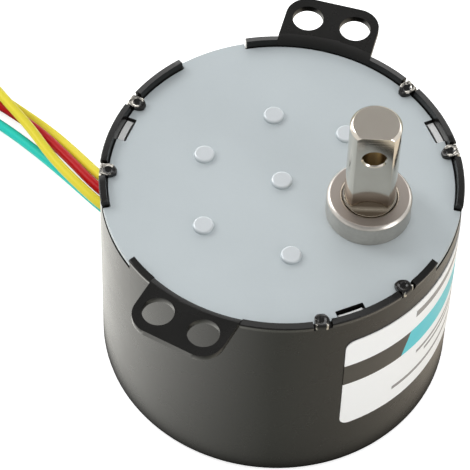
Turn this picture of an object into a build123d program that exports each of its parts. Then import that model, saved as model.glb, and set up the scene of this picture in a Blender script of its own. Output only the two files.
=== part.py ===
from build123d import *
import os
from math import acos, atan2, cos, degrees, dist, hypot, pi, radians, sin, sqrt, tan

os.makedirs("parts", exist_ok=True)

# Geared synchronous motor in a drawn can, standing on its floor with the output shaft up.
# The origin is the middle of the can's underside, and +X points to the output shaft.
# Sizes are in millimetres and angles in degrees from +X.

# Can of steel sheet, with lips round the cover and two ears bent outward
can_radius = 25.0
can_wall = 1.0
can_round = 1.1
lip_stand = 0.9
lip_round = 0.2
lip_flare = 12.0
lip_bend = 1.0
lip_gaps = ((0, 23.4), (135.3, 23.6), (-135.3, 23.6))
ear_angle = 97.0
ear_width = 13.5
ear_stand = 6.7
ear_lift = 0.55
ear_corner = 3.2
ear_bend = 0.3
ear_hole_stand = 3.25
ear_hole_spread = 14.0
ear_hole_radius = 2.2
stake_angles = (34.3, 64.3, 169.3, 199.3, -55.7, -25.7)
stake_width = 1.7
stake_depth = 1.1
stake_lift = 0.65
stake_gap = 0.45
stake_set = 0.5

# Stack of pieces in the can, from the floor up
pole_sheet = 1.0
bobbin_height = 7.4
gear_plate_sheet = 1.2
gear_room_height = 13.5
cover_sheet = 0.9

# Clearances
slip_gap = 0.1
tab_gap = 0.3
fixed_gap = 0.02
running_gap = 0.04
end_play = 0.15
air_gap = 0.5

# Rotor and stator
spindle_radius = 1.0
spindle_boss_radius = 3.0
spindle_boss_height = 0.8
spindle_depth = 0.6
washer_radius = 2.9
washer_sheet = 0.5
magnet_wall = 3.7
magnet_top_gap = 1.35
hub_flange_step = 1.7
hub_flange = 0.8
hub_neck_radius = 2.4
clip_radius = 2.3
clip_sheet = 0.5
clip_groove = 0.25
clip_mouth = 1.5
poles = 12
claw_gap = 0.36
claw_taper = 1.1
claw_relief = 0.25
claw_end_gap = 0.6
bobbin_wall = 0.8
bobbin_rim_gap = 1.3
winding_rim_gap = 0.6
winding_depth = 6.83

# Gear train: places as a share of the gear room's radius and an angle
shaft_place = (0.5522, 0)
pin_places = ((0.5484, -62.6), (0.5761, -121.9), (0.5, 180), (0.4939, 117.2), (0.5309, 64.3))
tooth_counts = ((12, 30), (12, 28), (12, 30), (14, 28), (12, 30), (12, 30))
wheel_level_index = (0, 1, 2, 3, 1, 2)
pressure_angle = 25
addendum = 0.8
dedendum = 1.05
tooth_gap = 0.1
pin_radius = 1.0
pin_chamfer = 0.25
gear_hub_radius = 1.8
first_level_gap = 0.7
last_level_gap = 1.5
wheel_thickness = 2.0
pinion_overhang = 0.3
case_wall = 0.9

# Cover with half-pierced bosses over the pins and notches in its edge
boss_radius = 1.45
boss_height = 0.55
boss_round = 0.35
boss_crown = 0.5
notch_angles = (45, 180, -45)
notch_length = 4.0
notch_floor = 0.5
notch_gap = 0.45

# Output shaft and its bushes
shaft_radius = 3.5
shaft_stand = 19.2
shaft_chamfer = 0.4
shaft_middle_radius = 3.0
upper_journal_radius = 3.7
lower_journal_radius = 2.0
flat_distance = 2.5
flat_angle = -69.6
cross_hole_radius = 1.5
cross_hole_height = 14.7
cross_hole_sink = 0.25
bush_radius = 5.85
bush_stand = 3.7
bush_chamfer = 0.45
bush_mouth = 0.25
bush_spigot_radius = 4.6
bush_tail = 0.7
lower_bush_radius = 3.2
lower_bush_flange = 0.8
lower_bush_spigot_radius = 2.6
output_hub_radius = 5.0
output_washer_radius = 4.5
output_washer_sheet = 0.4

# Rating label, a bare sticker on the can
label_sheet = 0.12
label_low = 10.3
label_high = 30.8
label_width = 95.5
label_corner = 1.5

# Leads, their grommet and the coil of spare length
lead_radius = 0.75
lead_pitch = 1.9
lead_row = 1.2
lead_exit_angle = 166.0
lead_out = 3.2
bend_share = 0.45
grommet_length = 8.6
grommet_height = 5.0
grommet_stand = 1.6
grommet_rim = 1.0
grommet_corner = 2.0
coil_middle = (-80.0, 20.5)
coil_heading = 150
coil_floor = 0.9
coil_pitch = 2.4
lead_approach = 7.0
tip_radius = 0.45
tip_length = 5.0
tie_turn = 95
tie_width = 2.0
tie_sheet = 0.4
tie_gap = 0.15
tie_round = 0.8

# Each lead: its column and row in the grommet, its coil's radius and turns, and its route by hand
lead_columns = {"yellow_back": -1, "red": 0, "yellow_front": 1, "green": 0.5}
lead_rows = {"yellow_back": 1, "red": 1, "yellow_front": 1, "green": -1}
coil_radii = {"yellow_back": 12.0, "red": 10.0, "yellow_front": 14.0, "green": 8.0}
coil_turns = {"yellow_back": 2, "red": 2.5, "yellow_front": 1.75, "green": 3}
lead_routes = {
    "yellow_back": (
        (-32.6, 10.9, 6.2), (-38.9, 15.5, 3.4), (-44.9, 19.2, 1.4), (-53.2, 22.0, 0.9), (-60.0, 23.9, 0.8),
    ),
    "red": (
        (-32.8, 9.0, 6.5), (-39.1, 13.4, 4.6), (-45.3, 17.3, 2.9), (-52.1, 19.8, 2.3), (-60.0, 22.0, 1.3),
    ),
    "yellow_front": (
        (-34.2, 7.8, 6.4), (-40.6, 11.7, 5.3), (-46.6, 16.3, 4.8), (-51.9, 19.5, 4.6), (-58.0, 24.0, 3.2),
    ),
    "green": (
        (-32.9, 8.0, 4.3), (-39.2, 11.7, 2.7), (-45.4, 14.9, 1.5), (-50.9, 17.1, 1.0), (-59.6, 19.6, 0.8),
    ),
}

# Heights and radii that follow from those
can_bore = can_radius - can_wall
lower_pole_base = can_wall
lower_bobbin_base = lower_pole_base + pole_sheet
lower_centre_base = lower_bobbin_base + bobbin_height
upper_centre_base = lower_centre_base + pole_sheet
upper_bobbin_base = upper_centre_base + pole_sheet
upper_pole_base = upper_bobbin_base + bobbin_height
gear_plate_base = upper_pole_base + pole_sheet
gear_floor = gear_plate_base + gear_plate_sheet
gear_ceiling = gear_floor + gear_room_height
cover_top = gear_ceiling + cover_sheet
can_height = cover_top + lip_stand
lip_base = cover_top - can_wall
ear_top = can_height + ear_lift
boss_top = cover_top + boss_height
pin_end = boss_top - boss_crown
shaft_top = cover_top + shaft_stand
bush_top = cover_top + bush_stand
level_count = max(wheel_level_index) + 1
level_room = gear_room_height - first_level_gap - last_level_gap - wheel_thickness
level_pitch = level_room / (level_count - 1)
levels = [gear_floor + first_level_gap + level * level_pitch for level in range(level_count)]
inner_round = can_round - can_wall
gear_room_radius = can_bore - slip_gap - case_wall
bobbin_radius = can_bore - bobbin_rim_gap
winding_radius = bobbin_radius - winding_rim_gap
winding_bore = winding_radius - winding_depth
bobbin_bore = winding_bore - fixed_gap - bobbin_wall
claw_bore = bobbin_bore - claw_relief - pole_sheet
claw_width = pi * claw_bore / poles - claw_gap
magnet_radius = claw_bore - air_gap
magnet_bore = magnet_radius - magnet_wall
rotor_base = can_wall + spindle_boss_height + washer_sheet + end_play
magnet_base = rotor_base + hub_flange
magnet_length = gear_plate_base - magnet_top_gap - magnet_base
on_base = (Align.CENTER, Align.CENTER, Align.MIN)
outward_on_base = (Align.MIN, Align.CENTER, Align.MIN)


def polar(radius, angle):
    """Point at a radius and an angle from +X."""
    return (radius * cos(radians(angle)), radius * sin(radians(angle)))


def ring_sector(height, inner, outer, middle, width):
    """Sketch of part of a flat ring, from its radii, its middle's angle and its width in degrees."""
    with BuildSketch(Plane.XY.offset(height), mode=Mode.PRIVATE) as sector:
        with BuildLine():
            low = CenterArc((0, 0), inner, middle - width / 2, width)
            high = CenterArc((0, 0), outer, middle - width / 2, width)
            Line(low @ 0, high @ 0)
            Line(low @ 1, high @ 1)
        make_face()
    return sector.sketch


def gear_outline(teeth, module, phase):
    """Sketch of a spur gear whose first tooth points to the angle phase, with flanks as arcs."""
    pitch_radius = teeth * module / 2
    base_radius = pitch_radius * cos(radians(pressure_angle))
    tip = pitch_radius + addendum * module
    root = pitch_radius - dedendum * module
    step = 360 / teeth
    half_pitch = step / 4 - degrees(tooth_gap / 2 / pitch_radius)

    def roll(radius):
        slant = acos(base_radius / radius)
        return degrees(tan(slant) - slant)

    def half_width(radius):
        return half_pitch + roll(pitch_radius) - roll(radius)

    start = max(root, base_radius)
    flank = (start, (start + tip) / 2, tip)
    foot = half_width(start)
    edges = []
    for tooth in range(teeth):
        middle = phase + tooth * step
        rise = [polar(radius, middle - half_width(radius)) for radius in flank]
        fall = [polar(radius, middle + half_width(radius)) for radius in reversed(flank)]
        valley = [polar(root, middle + angle) for angle in (foot, step / 2, step - foot)]
        if start > root:
            edges.append(Line(polar(root, middle - foot), rise[0], mode=Mode.PRIVATE))
            edges.append(Line(fall[-1], valley[0], mode=Mode.PRIVATE))
        for points in (rise, (rise[-1], polar(tip, middle), fall[0]), fall, valley):
            edges.append(ThreePointArc(*points, mode=Mode.PRIVATE))
    with BuildSketch(mode=Mode.PRIVATE) as outline:
        make_face(edges)
    return outline.sketch


# Gear places, and each pair's module and phase: a tooth of one meets a gap of the other
spindle_place = (0, 0)
pins = [polar(share * gear_room_radius, angle) for share, angle in pin_places]
shaft_at = polar(shaft_place[0] * gear_room_radius, shaft_place[1])
train = [spindle_place, *pins, shaft_at]
modules = []
wheel_phases = []
for driver, driven, (pinion_teeth, wheel_teeth) in zip(train, train[1:], tooth_counts):
    modules.append(2 * dist(driver, driven) / (pinion_teeth + wheel_teeth))
    towards = degrees(atan2(driven[1] - driver[1], driven[0] - driver[0]))
    share = towards / (360 / pinion_teeth)
    wheel_phases.append(towards + 180 + 360 / wheel_teeth * (share - 0.5))

# Ear: the wall's edge bent outward, cut to its outline, with two screw holes
ear_reach = can_radius + ear_stand
ear_sweep = hypot(ear_reach, ear_width / 2)
bend_radius = ear_bend + can_wall
with BuildPart() as ear:
    with BuildSketch(Plane.XZ):
        with BuildLine():
            bend_centre = (can_bore + bend_radius, ear_top - bend_radius)
            outer_bend = CenterArc(bend_centre, bend_radius, 90, 90)
            inner_bend = CenterArc(bend_centre, ear_bend, 90, 90)
            Line(outer_bend @ 1, inner_bend @ 1)
            ear_edge = ((ear_sweep, ear_top), (ear_sweep, ear_top - can_wall))
            Polyline(outer_bend @ 0, *ear_edge, inner_bend @ 0)
        make_face()
    revolve(axis=Axis.Z)
    with BuildSketch(Plane.XY.offset(ear_top - bend_radius)) as ear_outline:
        with Locations((ear_reach, 0)):
            Rectangle(ear_reach, ear_width, align=(Align.MAX, Align.CENTER))
        fillet(ear_outline.vertices().sort_by(Axis.X)[-2:], ear_corner)
    extrude(amount=bend_radius, mode=Mode.INTERSECT)
    ear_hole_reach = can_radius + ear_hole_stand
    with Locations((0, 0, ear_top)):
        with PolarLocations(ear_hole_reach, 2, -ear_hole_spread / 2, ear_hole_spread, endpoint=True):
            Hole(ear_hole_radius)

# Can: drawn cup with a boss for the spindle, lips, ears, chisel stakes and a hole for the leads
exit_middle = lower_bobbin_base + bobbin_height / 2
out_way = Vector(*polar(1, lead_exit_angle), 0)
exit_plane = Plane((0, 0, exit_middle), x_dir=(*polar(1, lead_exit_angle + 90), 0), z_dir=out_way)
with BuildPart() as can:
    Cylinder(can_radius, lip_base, align=on_base)
    fillet(can.edges().group_by(Axis.Z)[0], can_round)
    offset(amount=-can_wall, openings=can.faces().sort_by(Axis.Z)[-1])
    with BuildSketch(Plane.XZ) as lip_section:
        with BuildLine():
            lip_crest = Vector(can_radius + lip_stand * tan(radians(lip_flare)), can_height)
            lip_sheet = can_wall * cos(radians(lip_flare))
            lip_corner = lip_crest + Vector(*polar(lip_sheet, 180 - lip_flare))
            outside = ((can_bore, lip_base), (can_radius, lip_base), (can_radius, cover_top), lip_crest)
            Polyline(*outside, lip_corner, (can_bore, cover_top), close=True)
        make_face()
        fillet(lip_section.vertices().sort_by(Axis.X)[-1], lip_round)
        fillet(lip_section.vertices().sort_by_distance((can_radius, cover_top))[0], lip_bend)
    revolve(axis=Axis.Z)
    with Locations((0, 0, can_wall)):
        Cylinder(spindle_boss_radius, spindle_boss_height, align=on_base)
    with Locations((0, 0, spindle_depth)):
        Cylinder(spindle_radius + fixed_gap, can_height, align=on_base, mode=Mode.SUBTRACT)
    for middle, width in lip_gaps:
        gap = ring_sector(gear_ceiling - tab_gap, can_bore - can_wall, can_radius + can_wall, middle, width)
        extrude(gap, amount=can_height, mode=Mode.SUBTRACT)
    for angle in (ear_angle, -ear_angle):
        with BuildSketch(Plane.XY.offset(ear_top - bend_radius).rotated((0, 0, angle))):
            with Locations((can_radius, 0)):
                Rectangle(ear_width, ear_width)
        extrude(amount=bend_radius, mode=Mode.SUBTRACT)
        add(ear.part, rotation=(0, 0, angle))
    for angle in stake_angles:
        lump_middle = polar(can_bore - stake_depth + stake_width / 2, angle)
        with Locations(Location((*lump_middle, cover_top), (0, 0, angle))):
            cut_width = stake_width + 2 * stake_gap
            Box(can_wall * 3, cut_width, 2 * lip_stand, align=outward_on_base, mode=Mode.SUBTRACT)
            Cylinder(stake_width / 2, stake_lift, align=on_base)
            lump_length = can_wall + stake_depth - stake_width / 2 - stake_set
            Box(lump_length, stake_width, stake_lift, align=outward_on_base)
    with BuildSketch(exit_plane):
        hole_length = grommet_length + 2 * slip_gap
        RectangleRounded(hole_length, grommet_height + 2 * slip_gap, grommet_corner + slip_gap)
    extrude(amount=can_radius + can_wall, mode=Mode.SUBTRACT)
can.part.label = "can"
export_step(can.part, "parts/can.step")

# Cover: round plate with tabs over the can's edge, notches and bosses with a blind hole for each pin
cover_radius = can_bore - slip_gap
with BuildPart() as cover_plate:
    with Locations((0, 0, gear_ceiling)):
        Cylinder(cover_radius, cover_sheet, align=on_base)
    for middle, width in lip_gaps:
        tab_width = width - 2 * degrees(2 * slip_gap / can_radius)
        tab = ring_sector(gear_ceiling, can_bore - can_wall, can_radius - slip_gap, middle, tab_width)
        extrude(tab, amount=cover_sheet)
    for place in (spindle_place, *pins):
        with Locations((*place, gear_ceiling)):
            Cylinder(boss_radius, cover_sheet + boss_height, align=on_base)
    fillet(cover_plate.edges().group_by(Axis.Z)[-1], boss_round)
    for place in (spindle_place, *pins):
        with Locations((*place, gear_ceiling)):
            Cylinder(pin_radius + fixed_gap, pin_end - gear_ceiling, align=on_base, mode=Mode.SUBTRACT)
    with Locations((*shaft_at, cover_top)):
        Hole(bush_spigot_radius + fixed_gap)
    for angle in notch_angles:
        notch_edge = polar(gear_room_radius - notch_gap, angle)
        with Locations(Location((*notch_edge, gear_ceiling), (0, 0, angle))):
            Box(2 * can_wall, notch_length, cover_sheet, align=outward_on_base, mode=Mode.SUBTRACT)
cover_plate.part.label = "cover_plate"
export_step(cover_plate.part, "parts/cover_plate.step")

# Gear case: ring that spaces the cover from the gear plate, with a tab in each notch
with BuildPart() as gear_case_ring:
    with BuildSketch(Plane.XY.offset(gear_floor)):
        Circle(cover_radius)
        Circle(gear_room_radius, mode=Mode.SUBTRACT)
    extrude(amount=gear_room_height)
    for angle in notch_angles:
        tab_width = degrees((notch_length - 4 * slip_gap) / cover_radius)
        tab = ring_sector(gear_ceiling, gear_room_radius, cover_radius, angle, tab_width)
        extrude(tab, amount=cover_sheet - notch_floor)
gear_case_ring.part.label = "gear_case_ring"
export_step(gear_case_ring.part, "parts/gear_case_ring.step")

# Gear plate: floor of the gear room, with holes for the pins, the rotor's pinion and the lower bush
pinion_tip = modules[0] * (tooth_counts[0][0] / 2 + addendum)
with BuildPart() as gear_plate:
    with Locations((0, 0, gear_plate_base)):
        Cylinder(cover_radius, gear_plate_sheet, align=on_base)
    with Locations((0, 0, gear_floor)):
        Hole(pinion_tip + air_gap)
    with Locations(*[(*place, gear_floor) for place in pins]):
        Hole(pin_radius + fixed_gap)
    with Locations((*shaft_at, gear_floor)):
        Hole(lower_bush_spigot_radius + fixed_gap)
gear_plate.part.label = "gear_plate"
export_step(gear_plate.part, "parts/gear_plate.step")

# Gear pins: fixed in the gear plate and in the cover's bosses
for number, place in enumerate(pins, 1):
    with BuildPart() as gear_pin:
        with Locations((*place, gear_plate_base)):
            Cylinder(pin_radius, pin_end - gear_plate_base, align=on_base)
        chamfer(gear_pin.edges().group_by(Axis.Z)[-1], pin_chamfer)
    gear_pin.part.label = f"gear_pin_{number}"
    export_step(gear_pin.part, f"parts/gear_pin_{number}.step")

# Pole plates: flat rings with claws bent along the rotor, interleaved from both sides of each coil
claw_length = bobbin_height - claw_end_gap
step = 360 / poles


def pole_plate(base, upward, radius, turn):
    """Ring of steel sheet with its claws up or down, turned by an angle."""
    root_plane = base + pole_sheet if upward else base
    way = 1 if upward else -1
    with BuildPart() as plate:
        with BuildSketch(Plane.XY.offset(base)):
            Circle(radius)
            RegularPolygon(claw_bore, 2 * poles, major_radius=False, rotation=turn, mode=Mode.SUBTRACT)
        extrude(amount=pole_sheet)
        for claw in range(poles):
            angle = turn + claw * step
            claw_foot = (*polar(claw_bore, angle), root_plane)
            sideways = (*polar(1, angle + 90), 0)
            with BuildSketch(Plane(claw_foot, x_dir=sideways, z_dir=(*polar(1, angle), 0))):
                with BuildLine():
                    root_half = (claw_width + claw_taper) / 2
                    tip_half = (claw_width - claw_taper) / 2
                    tip_height = way * claw_length
                    root_line = Line((-root_half, 0), (root_half, 0))
                    tip_line = Line((-tip_half, tip_height), (tip_half, tip_height))
                    Line(root_line @ 0, tip_line @ 0)
                    Line(root_line @ 1, tip_line @ 1)
                make_face()
        extrude(amount=pole_sheet)
    return plate.part


quarter_pole = step / 4
wide_plate = can_bore - slip_gap
floor_plate = can_bore - inner_round - slip_gap
plates = {
    "lower_pole_plate": pole_plate(lower_pole_base, True, floor_plate, 0),
    "lower_centre_plate": pole_plate(lower_centre_base, False, wide_plate, step / 2),
    "upper_centre_plate": pole_plate(upper_centre_base, True, wide_plate, quarter_pole),
    "upper_pole_plate": pole_plate(upper_pole_base, False, wide_plate, quarter_pole + step / 2),
}
for name, plate in plates.items():
    plate.label = name
    export_step(plate, f"parts/{name}.step")

# Bobbins and their windings, one coil on the other
for level, base in (("lower", lower_bobbin_base), ("upper", upper_bobbin_base)):
    winding_base = base + bobbin_wall + fixed_gap
    winding_height = bobbin_height - 2 * bobbin_wall - 2 * fixed_gap
    with BuildPart() as bobbin:
        with BuildSketch(Plane.XY.offset(base)):
            Circle(bobbin_radius)
            Circle(bobbin_bore, mode=Mode.SUBTRACT)
        extrude(amount=bobbin_height)
        with BuildSketch(Plane.XY.offset(base + bobbin_wall)):
            Circle(bobbin_radius)
            Circle(bobbin_bore + bobbin_wall, mode=Mode.SUBTRACT)
        extrude(amount=bobbin_height - 2 * bobbin_wall, mode=Mode.SUBTRACT)
    bobbin.part.label = f"{level}_bobbin"
    export_step(bobbin.part, f"parts/{level}_bobbin.step")
    with BuildPart() as winding:
        with BuildSketch(Plane.XY.offset(winding_base)):
            Circle(winding_radius)
            Circle(winding_bore, mode=Mode.SUBTRACT)
        extrude(amount=winding_height)
    winding.part.label = f"{level}_winding"
    export_step(winding.part, f"parts/{level}_winding.step")

# Rotor spindle: fixed in the can's boss and the cover's middle boss, with a groove for the clip
pinion_base = levels[0] - pinion_overhang
pinion_length = wheel_thickness + 2 * pinion_overhang
clip_base = pinion_base + pinion_length + end_play
with BuildPart() as rotor_spindle:
    with Locations((0, 0, spindle_depth)):
        Cylinder(spindle_radius, pin_end - spindle_depth, align=on_base)
    chamfer(rotor_spindle.edges().group_by(Axis.Z)[-1], pin_chamfer)
    with BuildSketch(Plane.XY.offset(clip_base)):
        Circle(spindle_radius)
        Circle(spindle_radius - clip_groove, mode=Mode.SUBTRACT)
    extrude(amount=clip_sheet + fixed_gap, mode=Mode.SUBTRACT)
rotor_spindle.part.label = "rotor_spindle"
export_step(rotor_spindle.part, "parts/rotor_spindle.step")

# Clip that keeps the rotor down, open on one side
with BuildPart() as spindle_clip:
    with BuildSketch(Plane.XY.offset(clip_base)):
        Circle(clip_radius)
        Circle(spindle_radius - clip_groove + fixed_gap, mode=Mode.SUBTRACT)
        Rectangle(clip_radius, clip_mouth, align=(Align.MIN, Align.CENTER), mode=Mode.SUBTRACT)
    extrude(amount=clip_sheet)
spindle_clip.part.label = "spindle_clip"
export_step(spindle_clip.part, "parts/spindle_clip.step")

# Thrust washer under the rotor
with BuildPart() as thrust_washer:
    with BuildSketch(Plane.XY.offset(can_wall + spindle_boss_height)):
        Circle(washer_radius)
        Circle(spindle_radius + running_gap, mode=Mode.SUBTRACT)
    extrude(amount=washer_sheet)
thrust_washer.part.label = "thrust_washer"
export_step(thrust_washer.part, "parts/thrust_washer.step")

# Rotor: ferrite ring magnet on a moulded hub with the first pinion
with BuildPart() as rotor_magnet:
    with BuildSketch(Plane.XY.offset(magnet_base)):
        Circle(magnet_radius)
        Circle(magnet_bore, mode=Mode.SUBTRACT)
    extrude(amount=magnet_length)
rotor_magnet.part.label = "rotor_magnet"
export_step(rotor_magnet.part, "parts/rotor_magnet.step")

first_pinion = gear_outline(tooth_counts[0][0], modules[0], 0)
with BuildPart() as rotor_hub:
    with Locations((0, 0, rotor_base)):
        Cylinder(magnet_radius - hub_flange_step, hub_flange, align=on_base)
        Cylinder(magnet_bore - fixed_gap, hub_flange + magnet_length, align=on_base)
        Cylinder(hub_neck_radius, pinion_base - rotor_base, align=on_base)
    with BuildSketch(Plane.XY.offset(pinion_base)):
        add(first_pinion)
    extrude(amount=pinion_length)
    with Locations((0, 0, pinion_base + pinion_length)):
        Hole(spindle_radius + running_gap)
rotor_hub.part.label = "rotor_hub"
export_step(rotor_hub.part, "parts/rotor_hub.step")

# Gears on the pins: each a wheel and a pinion on one hub
for number, place in enumerate(pins, 1):
    wheel_level = wheel_level_index[number - 1]
    pinion_level = wheel_level_index[number]
    wheel = gear_outline(tooth_counts[number - 1][1], modules[number - 1], wheel_phases[number - 1])
    pinion = gear_outline(tooth_counts[number][0], modules[number], 0)
    with BuildPart() as gear:
        with Locations((*place, gear_floor + end_play)):
            Cylinder(gear_hub_radius, gear_room_height - 2 * end_play, align=on_base)
        with BuildSketch(Plane((*place, levels[wheel_level]))):
            add(wheel)
        extrude(amount=wheel_thickness)
        with BuildSketch(Plane((*place, levels[pinion_level] - pinion_overhang))):
            add(pinion)
        extrude(amount=pinion_length)
        with Locations((*place, gear_ceiling)):
            Hole(pin_radius + running_gap)
    gear.part.label = f"gear_{number}"
    export_step(gear.part, f"parts/gear_{number}.step")

# Output gear, fixed on the output shaft
output_level = levels[wheel_level_index[-1]]
bush_end = gear_ceiling - bush_tail
output_hub_top = bush_end - output_washer_sheet - end_play
output_wheel = gear_outline(tooth_counts[-1][1], modules[-1], wheel_phases[-1])
with BuildPart() as output_gear:
    with BuildSketch(Plane((*shaft_at, output_level))):
        add(output_wheel)
    extrude(amount=wheel_thickness)
    with Locations((*shaft_at, output_level)):
        Cylinder(output_hub_radius, output_hub_top - output_level, align=on_base)
    with Locations((*shaft_at, output_hub_top)):
        Hole(upper_journal_radius + fixed_gap)
output_gear.part.label = "output_gear"
export_step(output_gear.part, "parts/output_gear.step")

# Output shaft: turned in four diameters, with a flat on its end and a cross hole through the flat
lower_bush_top = gear_floor + lower_bush_flange
flat_plane = Plane((*shaft_at, cover_top + cross_hole_height), z_dir=(*polar(1, flat_angle), 0))
with BuildPart() as output_shaft:
    with Locations((*shaft_at, gear_plate_base + end_play)):
        Cylinder(lower_journal_radius, shaft_top - gear_plate_base - end_play, align=on_base)
    with Locations((*shaft_at, lower_bush_top + end_play)):
        Cylinder(shaft_middle_radius, shaft_top - lower_bush_top - end_play, align=on_base)
    with Locations((*shaft_at, output_level)):
        Cylinder(shaft_radius, shaft_top - output_level, align=on_base)
        Cylinder(upper_journal_radius, bush_top - output_level, align=on_base)
    chamfer(output_shaft.edges().group_by(Axis.Z)[-1], shaft_chamfer)
    with Locations(Location((*shaft_at, bush_top), (0, 0, flat_angle))):
        with Locations((flat_distance, 0, 0)):
            Box(shaft_radius, 2 * shaft_radius, shaft_stand, align=outward_on_base, mode=Mode.SUBTRACT)
    with Locations(flat_plane.offset(flat_distance)):
        CounterSinkHole(cross_hole_radius, cross_hole_radius + cross_hole_sink, counter_sink_angle=90)
output_shaft.part.label = "output_shaft"
export_step(output_shaft.part, "parts/output_shaft.step")

# Upper bush: stands on the cover, its spigot through the plate
with BuildPart() as output_bush:
    with Locations((*shaft_at, bush_end)):
        Cylinder(bush_spigot_radius, bush_top - bush_end, align=on_base)
    with Locations((*shaft_at, cover_top)):
        Cylinder(bush_radius, bush_stand, align=on_base)
    chamfer(output_bush.edges().group_by(Axis.Z)[-1], bush_chamfer)
    bush_bore = upper_journal_radius + running_gap
    with Locations((*shaft_at, bush_top)):
        CounterSinkHole(bush_bore, bush_bore + bush_mouth, counter_sink_angle=90)
output_bush.part.label = "output_bush"
export_step(output_bush.part, "parts/output_bush.step")

# Lower bush: flanged, in the gear plate
with BuildPart() as lower_bush:
    with Locations((*shaft_at, gear_plate_base)):
        Cylinder(lower_bush_spigot_radius, gear_plate_sheet, align=on_base)
    with Locations((*shaft_at, gear_floor)):
        Cylinder(lower_bush_radius, lower_bush_flange, align=on_base)
    with Locations((*shaft_at, lower_bush_top)):
        Hole(lower_journal_radius + running_gap)
lower_bush.part.label = "lower_bush"
export_step(lower_bush.part, "parts/lower_bush.step")

# Washer between the output gear and the upper bush
with BuildPart() as output_washer:
    with BuildSketch(Plane((*shaft_at, bush_end - output_washer_sheet))):
        Circle(output_washer_radius)
        Circle(upper_journal_radius + running_gap, mode=Mode.SUBTRACT)
    extrude(amount=output_washer_sheet)
output_washer.part.label = "output_washer"
export_step(output_washer.part, "parts/output_washer.step")

# Rating label: a bare sticker round the can's side under the output shaft
label_bore = can_radius + fixed_gap
with BuildPart() as rating_label:
    label_foot = ring_sector(label_low, label_bore, label_bore + label_sheet, 0, label_width)
    extrude(label_foot, amount=label_high - label_low)
    corners = rating_label.edges().filter_by(lambda edge: edge.length < 2 * label_sheet)
    fillet(corners, label_corner)
rating_label.part.label = "rating_label"
export_step(rating_label.part, "parts/rating_label.step")

# Grommet: moulded block through the can's wall, with a rim outside, where the leads come out
grommet_face = can_radius + grommet_stand
with BuildPart() as lead_grommet:
    with BuildSketch(exit_plane):
        rim_length = grommet_length + 2 * grommet_rim
        RectangleRounded(rim_length, grommet_height + 2 * grommet_rim, grommet_corner + grommet_rim)
    extrude(amount=grommet_face)
    Cylinder(can_radius + fixed_gap, 2 * can_height, mode=Mode.SUBTRACT)
    with BuildSketch(exit_plane):
        RectangleRounded(grommet_length, grommet_height, grommet_corner)
    extrude(amount=grommet_face)
    Cylinder(bobbin_radius + slip_gap, 2 * can_height, mode=Mode.SUBTRACT)
    fillet(lead_grommet.faces().sort_by(Axis((0, 0, 0), out_way))[-1].edges(), grommet_rim / 2)
lead_grommet.part.label = "lead_grommet"
export_step(lead_grommet.part, "parts/lead_grommet.step")

# Leads: each a free stretch on large arcs, then a coil on the floor, then a bare tinned end
heading = Vector(*polar(1, coil_heading), 0)
coil_entry = coil_heading - 90
lead_diameter = 2 * lead_radius
lead_section = pi * lead_radius**2


def joint_of_arcs(start, start_way, end, end_way):
    """Point where two arcs meet that leave start and reach end on the given ways."""
    chord = end - start
    spread = 2 * (1 - start_way.dot(end_way))
    along = chord.dot(start_way + end_way)
    reach = (sqrt(along**2 + spread * chord.dot(chord)) - along) / spread
    near = start + start_way * reach
    far = end - end_way * reach
    return (near + far) / 2, (far - near).normalized()


def least_gap(path, diameter):
    """Least gap of a tube to itself, measured on points along its path."""
    count = int(path.length / (diameter / 3))
    points = [tuple(path @ (number / count)) for number in range(count + 1)]
    apart = int(pi * diameter / (path.length / count)) + 1
    return min(
        dist(points[first], points[second])
        for first in range(count + 1)
        for second in range(first + apart, count + 1)
    ) - diameter


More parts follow.
